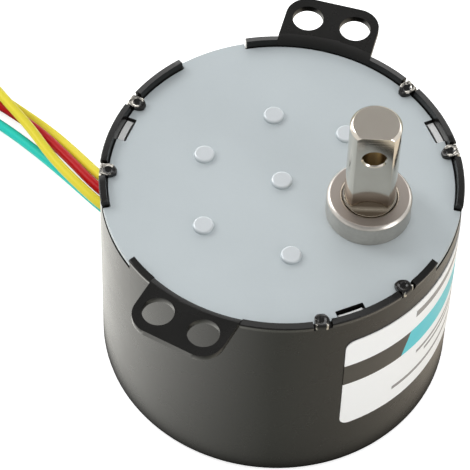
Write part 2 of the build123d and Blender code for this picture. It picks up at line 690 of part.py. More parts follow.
lead_ends = []
for name, route in lead_routes.items():
    coil_radius = coil_radii[name]
    coil_centre = Vector(*coil_middle, coil_floor)
    exit_place = (lead_columns[name] * lead_pitch, lead_rows[name] * lead_row, grommet_face)
    exit_point = exit_plane.from_local_coords(exit_place)
    entry = coil_centre + Vector(*polar(coil_radius, coil_entry), 0)
    coil_start = entry - heading * lead_diameter
    points = [exit_point, exit_point + out_way * lead_out]
    points += [Vector(*point) for point in route]
    points += [coil_start - heading * lead_approach, coil_start]
    runs = [end - start for start, end in zip(points, points[1:])]
    radii = [
        bend_share * min(before.length, after.length) / tan(radians(before.get_angle(after) / 2))
        for before, after in zip(runs, runs[1:])
    ]
    with BuildPart() as lead:
        with BuildLine() as lead_path:
            FilletPolyline(*points, radius=radii)
        with BuildSketch(Plane(exit_point, z_dir=runs[0])):
            Circle(lead_radius)
        sweep(path=lead_path.wires()[0])
    lead.part.label = f"lead_{name}"
    export_step(lead.part, f"parts/lead_{name}.step")
    lead_length = lead_path.wires()[0].length

    climb = coil_pitch / (2 * pi * coil_radius)
    turns = [entry]
    ways = [heading]
    for number in range(1, round(4 * coil_turns[name]) + 1):
        turned = 90 * number
        lift = coil_pitch / 4 * number
        turns.append(coil_centre + Vector(*polar(coil_radius, coil_entry + turned), lift))
        ways.append(Vector(*polar(1, coil_heading + turned), climb).normalized())
    with BuildPart() as coil:
        with BuildLine() as coil_path:
            Line(coil_start, entry)
            for start, end, start_way, end_way in zip(turns, turns[1:], ways, ways[1:]):
                middle, middle_way = joint_of_arcs(start, start_way, end, end_way)
                TangentArc(start, middle, tangent=start_way)
                TangentArc(middle, end, tangent=middle_way)
            Line(turns[-1], turns[-1] + ways[-1] * lead_diameter)
        with BuildSketch(Plane(coil_start, z_dir=heading)):
            Circle(lead_radius)
        sweep(path=coil_path.wires()[0])
    coil.part.label = f"coil_{name}"
    export_step(coil.part, f"parts/coil_{name}.step")
    coil_wire = coil_path.wires()[0]
    lead_ends.append((turns[-1] + ways[-1] * lead_diameter, ways[-1]))
    print(name, "arc radii", [round(radius, 1) for radius in radii])
    print(name, "lengths", round(lead_length, 1), round(coil_wire.length, 1))
    print(name, "volume by section times length", round(lead.part.volume / lead_section / lead_length, 4),
          round(coil.part.volume / lead_section / coil_wire.length, 4))
    print(name, "least gap in the coil", round(least_gap(coil_wire, lead_diameter), 2))

with BuildPart() as lead_tips:
    for end, way in lead_ends:
        with BuildSketch(Plane(end, z_dir=way)):
            Circle(tip_radius)
        extrude(amount=tip_length)
lead_tips.part.label = "lead_tips"
export_step(lead_tips.part, "parts/lead_tips.step")

# Tie: a flat band round the coil's bundle of turns
tie_share = tie_turn / 360
layers = int(max(coil_turns.values()) - tie_share)
tie_low = coil_floor + coil_pitch * tie_share - lead_radius - tie_gap
tie_high = coil_floor + coil_pitch * (tie_share + layers) + lead_radius + tie_gap
tie_inner = min(coil_radii.values()) - lead_radius - tie_gap
tie_outer = max(coil_radii.values()) + lead_radius + tie_gap
tie_middle = (*coil_middle, (tie_low + tie_high) / 2)
tie_out = (*polar(1, coil_entry + tie_turn), 0)
tie_plane = Plane(tie_middle, x_dir=tie_out, z_dir=(*polar(1, coil_heading + tie_turn), 0))
with BuildPart() as lead_tie:
    with BuildSketch(tie_plane):
        with Locations(((tie_inner + tie_outer) / 2, 0)):
            across = tie_outer - tie_inner
            high = tie_high - tie_low
            RectangleRounded(across + 2 * tie_sheet, high + 2 * tie_sheet, tie_round + tie_sheet)
            RectangleRounded(across, high, tie_round, mode=Mode.SUBTRACT)
    extrude(amount=tie_width / 2, both=True)
lead_tie.part.label = "lead_tie"
export_step(lead_tie.part, "parts/lead_tie.step")
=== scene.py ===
from math import cos, pi, radians, sin

import bpy
from mathutils import Matrix, Vector


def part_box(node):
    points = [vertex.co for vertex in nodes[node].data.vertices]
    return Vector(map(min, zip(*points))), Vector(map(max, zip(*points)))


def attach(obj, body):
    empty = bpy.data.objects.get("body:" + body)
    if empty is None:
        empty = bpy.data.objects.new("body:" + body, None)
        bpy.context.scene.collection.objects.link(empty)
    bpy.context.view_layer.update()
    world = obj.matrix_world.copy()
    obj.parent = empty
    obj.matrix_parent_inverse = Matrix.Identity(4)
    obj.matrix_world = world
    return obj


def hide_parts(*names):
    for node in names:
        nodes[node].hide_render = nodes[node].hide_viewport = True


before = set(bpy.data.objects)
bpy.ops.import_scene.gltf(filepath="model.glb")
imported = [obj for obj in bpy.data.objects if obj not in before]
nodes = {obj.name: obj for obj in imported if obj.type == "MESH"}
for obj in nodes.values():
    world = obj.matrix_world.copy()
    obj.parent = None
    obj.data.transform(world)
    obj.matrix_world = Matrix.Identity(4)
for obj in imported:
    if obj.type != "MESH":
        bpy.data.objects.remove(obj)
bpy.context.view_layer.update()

# Can: a cup deep-drawn from 1 mm steel sheet and stove-enamelled black, with lips round the cover
# and two screw ears bent outward. Its sheared edges are broken by the tumbling drum.
can_edge = 0.00012
edge_segments = 2
merge_gap = 0.000002
same_plane = radians(0.6)
sharp_angle = radians(35)


def start_editing(piece):
    """Selects one piece alone and opens its mesh with everything selected."""
    bpy.ops.object.select_all(action="DESELECT")
    piece.select_set(True)
    bpy.context.view_layer.objects.active = piece
    bpy.ops.object.mode_set(mode="EDIT")
    bpy.ops.mesh.select_all(action="SELECT")


def merged_copy(node, name):
    """Copy of a CAD node as a new piece, its triangles merged into flat faces."""
    piece = bpy.data.objects.new(name, nodes[node].data.copy())
    bpy.context.scene.collection.objects.link(piece)
    piece.data.materials.clear()
    start_editing(piece)
    bpy.ops.mesh.customdata_custom_splitnormals_clear()
    bpy.ops.mesh.remove_doubles(threshold=merge_gap)
    bpy.ops.mesh.dissolve_limited(angle_limit=same_plane)
    bpy.ops.object.mode_set(mode="OBJECT")
    return piece


def round_edges(piece, width):
    """Rounds a piece's sharp edges and smooths its round faces, with its flat faces kept flat."""
    bevel = piece.modifiers.new("rounded edges", "BEVEL")
    bevel.width = width
    bevel.segments = edge_segments
    bevel.limit_method = "ANGLE"
    bevel.angle_limit = sharp_angle
    bevel.miter_outer = "MITER_ARC"
    bpy.ops.object.modifier_apply(modifier=bevel.name)
    bpy.ops.object.shade_smooth_by_angle(angle=sharp_angle)
    flats = piece.modifiers.new("flat faces", "WEIGHTED_NORMAL")
    flats.weight = 100
    flats.keep_sharp = True
    bpy.ops.object.modifier_apply(modifier=flats.name)


drawn_can = merged_copy("can", "drawn_can")
round_edges(drawn_can, can_edge)

# Stove enamel: near black and semi-gloss, with a faint orange peel of about 1 mm. Where the
# attribute "bare" says that a tool broke it, bare steel shines through in ragged spots of 0.4 mm.
enamel_dark = "#0c0c0b"
enamel_light = "#141311"
enamel_ior = 1.36
bare_steel = "#b9b5ad"
peel_size = 0.0011
peel_depth = 0.0002
dust_size = 0.006
scar_size = 0.0004

# Most values of a noise texture lie between these two
noise_low = 0.3
noise_high = 0.7


def linear(hex_colour):
    """Linear colour of an sRGB hex value."""
    shares = [int(hex_colour[place:place + 2], 16) / 255 for place in (1, 3, 5)]
    return [share / 12.92 if share <= 0.04045 else ((share + 0.055) / 1.055) ** 2.4
            for share in shares] + [1]


def add_node(tree, kind, settings=None, inputs=None):
    """Adds one node with its settings; an input is a value or another node's output."""
    node = tree.nodes.new(kind)
    for name, value in (settings or {}).items():
        setattr(node, name, value)
    for name, value in (inputs or {}).items():
        if isinstance(value, bpy.types.NodeSocket):
            tree.links.new(value, node.inputs[name])
        else:
            node.inputs[name].default_value = value
    return node


def new_material(name):
    """Empty material with its node tree, its surface shader and the object's own coordinates."""
    material = bpy.data.materials.new(name)
    material.use_nodes = True
    tree = material.node_tree
    shader = tree.nodes["Principled BSDF"]
    place = add_node(tree, "ShaderNodeTexCoord").outputs["Object"]
    return material, tree, shader, place


enamel, tree, shader, place = new_material("black_stove_enamel")
peel = add_node(tree, "ShaderNodeTexNoise", inputs={
    "Vector": place, "Scale": 1 / peel_size, "Detail": 2.0})
dust = add_node(tree, "ShaderNodeTexNoise", inputs={
    "Vector": place, "Scale": 1 / dust_size, "Detail": 4.0})
gloss = add_node(tree, "ShaderNodeMapRange", inputs={
    "Value": dust.outputs["Fac"], "From Min": noise_low, "From Max": noise_high,
    "To Min": 0.25, "To Max": 0.29})
tone = add_node(tree, "ShaderNodeMix", {"data_type": "RGBA"}, {
    "Factor": dust.outputs["Fac"], "A": linear(enamel_dark), "B": linear(enamel_light)})
worn = add_node(tree, "ShaderNodeAttribute", {"attribute_name": "bare"})
grit = add_node(tree, "ShaderNodeTexNoise", inputs={
    "Vector": place, "Scale": 1 / scar_size, "Detail": 3.0})
ragged = add_node(tree, "ShaderNodeMath", {"operation": "ADD"}, {
    0: worn.outputs["Fac"], 1: grit.outputs["Fac"]})
scar = add_node(tree, "ShaderNodeMapRange", inputs={
    "Value": ragged.outputs["Value"], "From Min": 1.0, "From Max": 1.15})
skin = add_node(tree, "ShaderNodeMix", {"data_type": "RGBA"}, {
    "Factor": scar.outputs["Result"], "A": tone.outputs["Result"], "B": linear(bare_steel)})
bump = add_node(tree, "ShaderNodeBump", inputs={
    "Height": peel.outputs["Fac"], "Strength": 0.02, "Distance": peel_depth})
tree.links.new(skin.outputs["Result"], shader.inputs["Base Color"])
tree.links.new(scar.outputs["Result"], shader.inputs["Metallic"])
tree.links.new(gloss.outputs["Result"], shader.inputs["Roughness"])
tree.links.new(bump.outputs["Normal"], shader.inputs["Normal"])
shader.inputs["IOR"].default_value = enamel_ior
drawn_can.data.materials.append(enamel)


def grained_material(name, dark, light, grain, roughness, metallic, relief):
    """Material with a mottled tone, an uneven gloss and a fine grain of a given size in metres."""
    cloud_size = 10 * grain
    grain_depth = grain / 6
    gloss_swing = 0.06
    material, tree, shader, place = new_material(name)
    cloud = add_node(tree, "ShaderNodeTexNoise", inputs={
        "Vector": place, "Scale": 1 / cloud_size, "Detail": 4.0})
    grit = add_node(tree, "ShaderNodeTexNoise", inputs={
        "Vector": place, "Scale": 1 / grain, "Detail": 3.0})
    tone = add_node(tree, "ShaderNodeMix", {"data_type": "RGBA"}, {
        "Factor": cloud.outputs["Fac"], "A": linear(dark), "B": linear(light)})
    gloss = add_node(tree, "ShaderNodeMapRange", inputs={
        "Value": cloud.outputs["Fac"], "From Min": noise_low, "From Max": noise_high,
        "To Min": roughness - gloss_swing, "To Max": roughness + gloss_swing})
    bump = add_node(tree, "ShaderNodeBump", inputs={
        "Height": grit.outputs["Fac"], "Strength": relief, "Distance": grain_depth})
    tree.links.new(tone.outputs["Result"], shader.inputs["Base Color"])
    tree.links.new(gloss.outputs["Result"], shader.inputs["Roughness"])
    tree.links.new(bump.outputs["Normal"], shader.inputs["Normal"])
    shader.inputs["Metallic"].default_value = metallic
    return material


# Thin enamel: dull on the ears' bends, where the wet coat drew back from the curve
ear_angles = (97, -97)
ear_half = 0.00675
ear_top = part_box("can")[1].z
bend_end = 0.0254
bend_depth = 0.0013
least_slope = 0.1
most_slope = 0.995
thin_enamel = grained_material("thin_stove_enamel", enamel_dark, enamel_light,
                               grain=0.0004, roughness=0.7, metallic=0.0, relief=0.05)
thin_enamel.node_tree.nodes["Principled BSDF"].inputs["IOR"].default_value = enamel_ior
drawn_can.data.materials.append(thin_enamel)
for face in drawn_can.data.polygons:
    centre = face.center
    sloping = least_slope < face.normal.z < most_slope
    for angle in ear_angles:
        ear_place = Matrix.Rotation(-radians(angle), 4, "Z") @ centre
        on_ear = ear_place.x > 0 and abs(ear_place.y) < ear_half and centre.z > ear_top - bend_depth
        if on_ear and sloping and centre.to_2d().length < bend_end:
            face.material_index = 1
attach(drawn_can, "case")
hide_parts("can")

# Pole plates: four rings pressed from zinc plated steel sheet, with claws bent along the rotor. They
# stack in the can with the bobbins between them.

# Zinc plated sheet: bright grey with a crystalline bloom of about 0.5 mm
zinc_sheet = grained_material("zinc_plated_sheet", "#9da1a1", "#bfc3c3",
                              grain=0.0005, roughness=0.38, metallic=1.0, relief=0.1)
for name in ("lower_pole_plate", "lower_centre_plate", "upper_centre_plate", "upper_pole_plate"):
    nodes[name].data.materials[0] = zinc_sheet

# Bobbins: two spools moulded in natural nylon, each wound with several thousand turns of fine
# enamelled copper wire. The windings fill them to just under the rim.
turn_pitch = 0.0003
turn_depth = turn_pitch / 3
wave_period = 2 * pi / 20

# Moulded nylon: ivory and satin, with the fine spark texture of the mould
natural_nylon = grained_material("natural_moulded_nylon", "#dcd9cc", "#ebe8dd",
                                 grain=0.0004, roughness=0.45, metallic=0.0, relief=0.12)
for name in ("lower_bobbin", "upper_bobbin"):
    nodes[name].data.materials[0] = natural_nylon

# Enamelled copper: glossy brown-red turns side by side, drawn at 0.3 mm where the wire is half of that
copper, tree, shader, place = new_material("enamelled_copper_wire")
turns = add_node(tree, "ShaderNodeTexWave", {"wave_type": "BANDS", "bands_direction": "Z"}, {
    "Vector": place, "Scale": wave_period / turn_pitch, "Distortion": 0.4, "Detail": 1.0})
tone = add_node(tree, "ShaderNodeMix", {"data_type": "RGBA"}, {
    "Factor": turns.outputs["Fac"], "A": linear("#6b2f17"), "B": linear("#b5623a")})
bump = add_node(tree, "ShaderNodeBump", inputs={
    "Height": turns.outputs["Fac"], "Strength": 0.6, "Distance": turn_depth})
tree.links.new(tone.outputs["Result"], shader.inputs["Base Color"])
tree.links.new(bump.outputs["Normal"], shader.inputs["Normal"])
shader.inputs["Metallic"].default_value = 0.8
shader.inputs["Roughness"].default_value = 0.3
for name in ("lower_winding", "upper_winding"):
    nodes[name].data.materials[0] = copper

# Rotor: a ferrite ring magnet on a moulded acetal hub that carries the first pinion. It turns on a
# fixed steel spindle, on a phenolic washer, and an open clip in the spindle's groove keeps it down.

# Ground ferrite: charcoal grey and dull, with the grinding wheel's grit of about 0.3 mm
ferrite = grained_material("ground_ferrite", "#29292b", "#3a3a3c",
                           grain=0.0003, roughness=0.5, metallic=0.2, relief=0.15)
nodes["rotor_magnet"].data.materials[0] = ferrite

# Moulded acetal: milky white, slippery and slightly glossy
acetal = grained_material("moulded_acetal", "#e2e0d8", "#efede6",
                          grain=0.0006, roughness=0.34, metallic=0.0, relief=0.05)
nodes["rotor_hub"].data.materials[0] = acetal

# Laminated phenolic: brown paper and resin, dull where it was punched
phenolic = grained_material("laminated_phenolic", "#6b4a2c", "#8a6440",
                            grain=0.0005, roughness=0.55, metallic=0.0, relief=0.1)
nodes["thrust_washer"].data.materials[0] = phenolic

# Bright steel: cold drawn and clean, with short scratches of about 0.2 mm
bright_steel = grained_material("bright_drawn_steel", "#b4b5b4", "#cfd0cf",
                                grain=0.0002, roughness=0.28, metallic=1.0, relief=0.06)
for name in ("rotor_spindle", "spindle_clip"):
    nodes[name].data.materials[0] = bright_steel

# Gear room: a bright steel plate with five pins fixed in it, and a zinc plated spacing ring. Three
# tabs of the ring show in the cover's notches.
for name in ("gear_plate", "gear_pin_1", "gear_pin_2", "gear_pin_3", "gear_pin_4", "gear_pin_5"):
    nodes[name].data.materials[0] = bright_steel

# Bright zinc: silky zinc plate, its tone raised to almost white as a painted highlight where the tabs sit
# in the notches' shade
zinc_with_painted_highlight = grained_material("zinc_plate_painted_highlight", "#dfe0df", "#eeefee",
                               grain=0.0005, roughness=0.4, metallic=0.25, relief=0.08)
nodes["gear_case_ring"].data.materials[0] = zinc_with_painted_highlight

# Gears: five wheels with their pinions, each moulded in acetal in one shot. They turn on the pins and
# bring the rotor's speed down in steps.
for name in ("gear_1", "gear_2", "gear_3", "gear_4", "gear_5"):
    nodes[name].data.materials[0] = acetal

# Output gear: pressed and sintered steel, fixed on the output shaft. A steel washer lies over its hub,
# under the upper bush.

# Sintered steel: dark grey with open pores of about 0.25 mm and a film of oil
sintered = grained_material("oiled_sintered_steel", "#6f6c68", "#8a8783",
                            grain=0.00025, roughness=0.42, metallic=1.0, relief=0.25)
nodes["output_gear"].data.materials[0] = sintered
nodes["output_washer"].data.materials[0] = bright_steel

# Output shaft: turned from steel and nickel plated, with a milled flat and a cross hole drilled
# through it, both broken at the edge with a small chamfer. It turns in the two bushes.
shaft_edge = 0.00014
shaft_low, shaft_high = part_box("output_shaft")
shaft_x = (shaft_low.x + shaft_high.x) / 2
bush_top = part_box("output_bush")[1].z
face_skin = 0.00005
tool_pitch = 0.00018
tool_depth = 0.00004
tool_stretch = (0.02, 0.02, 1)
tarnish_size = 0.002
# Painted reflection of the bush's top on the shaft's foot: where it starts, is full, fades and ends
bush_reflection_start = bush_top + 0.0003
bush_reflection_full = bush_top + 0.0007
bush_reflection_fade = bush_top + 0.0018
bush_reflection_end = bush_top + 0.0032
hole_radius = 0.0015
hole_angle = radians(-69.6)
hole_height = 0.0501
hole_place = Vector((shaft_x, 0, hole_height))
wall_limit = 0.5


def flat_way(angle):
    """Unit vector on the floor at an angle from +X."""
    return Vector((cos(angle), sin(angle), 0))


shaft = merged_copy("output_shaft", "shaft")
round_edges(shaft, shaft_edge)

# Nickel plate: warm grey and bright, with the lathe tool's faint rings along the shaft. The faced end
# is duller than the ground side, and a painted reflection of the bush's top browns the foot.
nickel, tree, shader, place = new_material("nickel_plated_steel")
height = add_node(tree, "ShaderNodeSeparateXYZ", inputs={"Vector": place})
tarnish = add_node(tree, "ShaderNodeTexNoise", inputs={
    "Vector": place, "Scale": 1 / tarnish_size, "Detail": 3.0})
tone = add_node(tree, "ShaderNodeMix", {"data_type": "RGBA"}, {
    "Factor": tarnish.outputs["Fac"], "A": linear("#cdc5b9"), "B": linear("#d8d1c6")})
# Painted reflection: the foot turns brown just above the bush, as if it mirrored the bush's top
foot = add_node(tree, "ShaderNodeMapRange", inputs={
    "Value": height.outputs["Z"], "From Min": bush_reflection_fade, "From Max": bush_reflection_end,
    "To Min": 0.8, "To Max": 0.0})
above = add_node(tree, "ShaderNodeMapRange", inputs={
    "Value": height.outputs["Z"], "From Min": bush_reflection_start, "From Max": bush_reflection_full})
painted_bush_reflection = add_node(tree, "ShaderNodeMath", {"operation": "MULTIPLY"}, {
    0: foot.outputs["Result"], 1: above.outputs["Result"]})
tone = add_node(tree, "ShaderNodeMix", {"data_type": "RGBA"}, {
    "Factor": painted_bush_reflection.outputs["Value"], "A": tone.outputs["Result"], "B": linear("#7a6b5a")})
stretch = add_node(tree, "ShaderNodeMapping", inputs={"Vector": place, "Scale": tool_stretch})
tool = add_node(tree, "ShaderNodeTexNoise", inputs={
    "Vector": stretch.outputs["Vector"], "Scale": 1 / tool_pitch, "Detail": 3.0})
gloss = add_node(tree, "ShaderNodeMapRange", inputs={
    "Value": tool.outputs["Fac"], "From Min": noise_low, "From Max": noise_high,
    "To Min": 0.09, "To Max": 0.13})
faced = add_node(tree, "ShaderNodeMath", {"operation": "GREATER_THAN"}, {
    0: height.outputs["Z"], 1: shaft_high.z - face_skin})
gloss = add_node(tree, "ShaderNodeMix", inputs={
    "Factor": faced.outputs["Value"], "A": gloss.outputs["Result"], "B": 0.24})
bump = add_node(tree, "ShaderNodeBump", inputs={
    "Height": tool.outputs["Fac"], "Strength": 0.015, "Distance": tool_depth})
tree.links.new(tone.outputs["Result"], shader.inputs["Base Color"])
tree.links.new(gloss.outputs["Result"], shader.inputs["Roughness"])
tree.links.new(bump.outputs["Normal"], shader.inputs["Normal"])
shader.inputs["Metallic"].default_value = 1.0
shaft.data.materials.append(nickel)

# Drilled bore: the plating hardly reaches into it, and the drill's oil browned it
bore = grained_material("oily_drilled_bore", "#6e5c3f", "#8a7650",
                        grain=0.0003, roughness=0.38, metallic=1.0, relief=0.1)
shaft.data.materials.append(bore)
hole_way = flat_way(hole_angle)
for face in shaft.data.polygons:
    from_hole = face.center - hole_place
    aside = from_hole - hole_way * from_hole.dot(hole_way)
    if aside.length < hole_radius and abs(face.normal.dot(hole_way)) < wall_limit:
        face.material_index = 1
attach(shaft, "output")
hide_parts("output_shaft")

# Cover: a round steel plate, zinc plated and left matt, half-pierced into six bosses over the pins
# and notched at its edge. It lies in the can's mouth under the lips and the stakes.
cover_edge = 0.0001
boss_height = 0.00055
cover_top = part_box("cover_plate")[1].z - boss_height
rubbed_start = cover_top + 0.0002
rubbed_full = cover_top + boss_height
notch_angles = (45, 180, -45)
notch_half = 0.00205
notch_edge = 0.0222
zinc_cloud = 0.016
zinc_grain = 0.0005
zinc_depth = 0.0001
cover = merged_copy("cover_plate", "cover")
round_edges(cover, cover_edge)

# Matt zinc: pale blue-grey with wide soft clouds and a powdery grain, drawn at 0.5 mm. The bosses' tops
# are lighter, because the press rubbed them.
matt_zinc, tree, shader, place = new_material("matt_zinc_plate")
cloud = add_node(tree, "ShaderNodeTexNoise", inputs={
    "Vector": place, "Scale": 1 / zinc_cloud, "Detail": 3.0})
tone = add_node(tree, "ShaderNodeMix", {"data_type": "RGBA"}, {
    "Factor": cloud.outputs["Fac"], "A": linear("#aeb6b9"), "B": linear("#bbc3c6")})
height = add_node(tree, "ShaderNodeSeparateXYZ", inputs={"Vector": place})
rubbed = add_node(tree, "ShaderNodeMapRange", inputs={
    "Value": height.outputs["Z"], "From Min": rubbed_start, "From Max": rubbed_full})
tone = add_node(tree, "ShaderNodeMix", {"data_type": "RGBA"}, {
    "Factor": rubbed.outputs["Result"], "A": tone.outputs["Result"], "B": linear("#c2c7ca")})
grain = add_node(tree, "ShaderNodeTexNoise", inputs={
    "Vector": place, "Scale": 1 / zinc_grain, "Detail": 3.0})
gloss = add_node(tree, "ShaderNodeMapRange", inputs={
    "Value": grain.outputs["Fac"], "From Min": noise_low, "From Max": noise_high,
    "To Min": 0.42, "To Max": 0.52})
bump = add_node(tree, "ShaderNodeBump", inputs={
    "Height": grain.outputs["Fac"], "Strength": 0.06, "Distance": zinc_depth})
tree.links.new(tone.outputs["Result"], shader.inputs["Base Color"])
tree.links.new(gloss.outputs["Result"], shader.inputs["Roughness"])
tree.links.new(bump.outputs["Normal"], shader.inputs["Normal"])
shader.inputs["Metallic"].default_value = 0.3
cover.data.materials.append(matt_zinc)

# Sheared edge: the notches' walls, painted near black as the shade inside the deep notches
notch_wall_shade = grained_material("notch_wall_painted_shade", "#141413", "#1f1e1d",
                           grain=0.0003, roughness=0.5, metallic=0.3, relief=0.1)
cover.data.materials.append(notch_wall_shade)
for face in cover.data.polygons:
    for angle in notch_angles:
        notch_place = Matrix.Rotation(-radians(angle), 4, "Z") @ face.center
        in_notch = abs(notch_place.y) < notch_half and notch_place.x > notch_edge
        if in_notch and abs(face.normal.z) < wall_limit:
            face.material_index = 1
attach(cover, "case")
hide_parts("cover_plate")

# Bushes: turned from sintered steel. The upper one is pressed through the cover and stands on it, and
# the lower one sits in the gear plate. Their faces keep the rings of the lathe tool.
bush_edge = 0.0001
ring_pitch = 0.00024
ring_depth = 0.00005
pore_size = 0.0005
bush = merged_copy("output_bush", "bush")
round_edges(bush, bush_edge)

# Turned sintered steel: brownish grey from its oil, with fine rings round the shaft's axis. The upper
# bush's faced end is duller and darker than its side.
turned, tree, shader, place = new_material("turned_sintered_steel")
pores = add_node(tree, "ShaderNodeTexNoise", inputs={
    "Vector": place, "Scale": 1 / pore_size, "Detail": 2.0})
tone = add_node(tree, "ShaderNodeMix", {"data_type": "RGBA"}, {
    "Factor": pores.outputs["Fac"], "A": linear("#b4afa8"), "B": linear("#c8c3bc")})
gloss = add_node(tree, "ShaderNodeMapRange", inputs={
    "Value": pores.outputs["Fac"], "From Min": noise_low, "From Max": noise_high,
    "To Min": 0.29, "To Max": 0.33})
height = add_node(tree, "ShaderNodeSeparateXYZ", inputs={"Vector": place})
faced = add_node(tree, "ShaderNodeMath", {"operation": "GREATER_THAN"}, {
    0: height.outputs["Z"], 1: bush_top - face_skin})
tone = add_node(tree, "ShaderNodeMix", {"data_type": "RGBA"}, {
    "Factor": faced.outputs["Value"], "A": tone.outputs["Result"], "B": linear("#978f88")})
gloss = add_node(tree, "ShaderNodeMix", inputs={
    "Factor": faced.outputs["Value"], "A": gloss.outputs["Result"], "B": 0.45})
axis = add_node(tree, "ShaderNodeMapping", inputs={"Vector": place, "Location": (-shaft_x, 0, 0)})
rings = add_node(tree, "ShaderNodeTexWave", {"wave_type": "RINGS", "rings_direction": "Z"}, {
    "Vector": axis.outputs["Vector"], "Scale": wave_period / ring_pitch, "Distortion": 1.5,
    "Detail": 2.0})
bump = add_node(tree, "ShaderNodeBump", inputs={
    "Height": rings.outputs["Fac"], "Strength": 0.05, "Distance": ring_depth})
tree.links.new(tone.outputs["Result"], shader.inputs["Base Color"])
tree.links.new(gloss.outputs["Result"], shader.inputs["Roughness"])
tree.links.new(bump.outputs["Normal"], shader.inputs["Normal"])
shader.inputs["Metallic"].default_value = 1.0
bush.data.materials.append(turned)
nodes["lower_bush"].data.materials[0] = turned
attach(bush, "case")
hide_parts("output_bush")

# Stakes: six tongues of the can's wall, cut free by two slits and struck inward with a chisel so that
# they hold the cover. Each is a crumpled lump with a pit from the punch, and the enamel is broken
# along its rim and at the slits.
stake_angles = (34.3, 64.3, 169.3, 199.3, -55.7, -25.7)
stake_turns = (4, -6, 7, -3, -8, 5)
stake_wear = (0.62, 0.62, 0.6, 0.6, 0.35, 0.3)
stake_length = 0.0024
stake_width = 0.0019
stake_height = 0.00095
stake_radius = 0.0239
stake_sink = 0.0001
rim_start = 0.36
rim_end = 0.5
slit_start = 0.3
slit_wear = 0.62


def pick_points(piece, wanted):
    """Selects those points of the open mesh whose places a test accepts."""
    bpy.ops.mesh.select_mode(type="VERT")
    bpy.ops.mesh.select_all(action="DESELECT")
    bpy.ops.object.mode_set(mode="OBJECT")
    for vertex in piece.data.vertices:
        vertex.select = wanted(vertex.co)
    bpy.ops.object.mode_set(mode="EDIT")


bpy.ops.object.select_all(action="DESELECT")
bpy.ops.mesh.primitive_cube_add(size=1.0)
lump = bpy.context.object
start_editing(lump)
bpy.ops.transform.resize(value=(stake_length, stake_width, stake_height))
bpy.ops.mesh.subdivide(number_cuts=3)

# The tongue narrows towards its end, which is pressed down on the cover
pick_points(lump, lambda at: at.x < -0.45 * stake_length)
bpy.ops.transform.resize(value=(1, 0.45, 0.6))
bpy.ops.transform.translate(value=(0, 0, -0.2 * stake_height))
pick_points(lump, lambda at: -0.3 * stake_length < at.x < -0.2 * stake_length)
bpy.ops.transform.resize(value=(1, 0.9, 1))

# Its root stands up a little at the can's wall
pick_points(lump, lambda at: at.x > 0.45 * stake_length and at.z > 0.4 * stake_height)
bpy.ops.transform.translate(value=(-0.04 * stake_length, 0.05 * stake_width, 0.22 * stake_height))

# The punch leaves a pit in the middle and pushes metal up on both sides of it
pick_points(lump, lambda at: abs(at.x) < 0.1 * stake_length and abs(at.y) < 0.1 * stake_width
            and at.z > 0.4 * stake_height)
bpy.ops.transform.translate(value=(0, 0, -0.95 * stake_height))
pick_points(lump, lambda at: at.y > 0.2 * stake_width and abs(at.x) < 0.1 * stake_length and at.z > 0)
bpy.ops.transform.translate(value=(0, 0.12 * stake_width, 0.08 * stake_height))
pick_points(lump, lambda at: at.y < -0.2 * stake_width and at.x < 0 and at.z > 0)
bpy.ops.transform.translate(value=(0.05 * stake_length, -0.06 * stake_width, 0.12 * stake_height))
bpy.ops.object.mode_set(mode="OBJECT")
soften = lump.modifiers.new("struck metal", "SUBSURF")
soften.levels = 2
soften.render_levels = 2
bpy.ops.object.modifier_apply(modifier=soften.name)
bpy.ops.object.shade_smooth()
lump.data.materials.append(enamel)
for number, (angle, turn, wear) in enumerate(zip(stake_angles, stake_turns, stake_wear), 1):
    stake = bpy.data.objects.new(f"stake_{number}", lump.data.copy())
    bpy.context.scene.collection.objects.link(stake)
    bare = stake.data.attributes.new("bare", "FLOAT", "POINT")
    for vertex in stake.data.vertices:
        rim = (vertex.co.z / stake_height - rim_start) / (rim_end - rim_start)
        at_slit = vertex.co.x > slit_start * stake_length and abs(vertex.co.y) > slit_start * stake_width
        bare.data[vertex.index].value = slit_wear if at_slit else max(0, min(wear, rim))
    stake_place = Vector((stake_radius, 0, cover_top + stake_height / 2 - stake_sink))
    stake.data.transform(Matrix.Rotation(radians(angle), 4, "Z") @ Matrix.Translation(stake_place)
                         @ Matrix.Rotation(radians(turn), 4, "Z"))
    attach(stake, "case")
bpy.data.objects.remove(lump)

# Rating label: a film sticker round the can's front. A dark band crosses it and turns turquoise at a
# slant, and thin grey bars stand above and below. Each bar has its height, half its thickness, its
# place along the can's wall and half its length.
label_radius = 0.025
band_middle = 0.0228
band_half = 0.0023
slant_lean = -0.35
slant_place = -0.0185
film_wave = 0.003
bar_rows = (
    (0.0284, 0.0007, 0.0025, 0.0115),
    (0.0181, 0.00035, -0.001, 0.007),
    (0.0167, 0.00035, 0.001, 0.007),
    (0.0136, 0.0004, 0.002, 0.0145),
)

# Printed film: white, smooth and slightly glossy, with ink as matt as the film
film, tree, shader, place = new_material("printed_label_film")
parts = add_node(tree, "ShaderNodeSeparateXYZ", inputs={"Vector": place})
height = parts.outputs["Z"]
turn = add_node(tree, "ShaderNodeMath", {"operation": "ARCTAN2"}, {
    0: parts.outputs["Y"], 1: parts.outputs["X"]})
along = add_node(tree, "ShaderNodeMath", {"operation": "MULTIPLY"}, {
    0: turn.outputs["Value"], 1: label_radius})
band = add_node(tree, "ShaderNodeMath", {"operation": "COMPARE"}, {
    0: height, 1: band_middle, 2: band_half})
slant = add_node(tree, "ShaderNodeMath", {"operation": "MULTIPLY_ADD"}, {
    0: height, 1: slant_lean, 2: along.outputs["Value"]})
turquoise = add_node(tree, "ShaderNodeMath", {"operation": "GREATER_THAN"}, {
    0: slant.outputs["Value"], 1: slant_place})
band_ink = add_node(tree, "ShaderNodeMix", {"data_type": "RGBA"}, {
    "Factor": turquoise.outputs["Value"], "A": linear("#35322d"), "B": linear("#45cbd5")})
print_tone = add_node(tree, "ShaderNodeMix", {"data_type": "RGBA"}, {
    "Factor": band.outputs["Value"], "A": linear("#fafaf8"), "B": band_ink.outputs["Result"]})
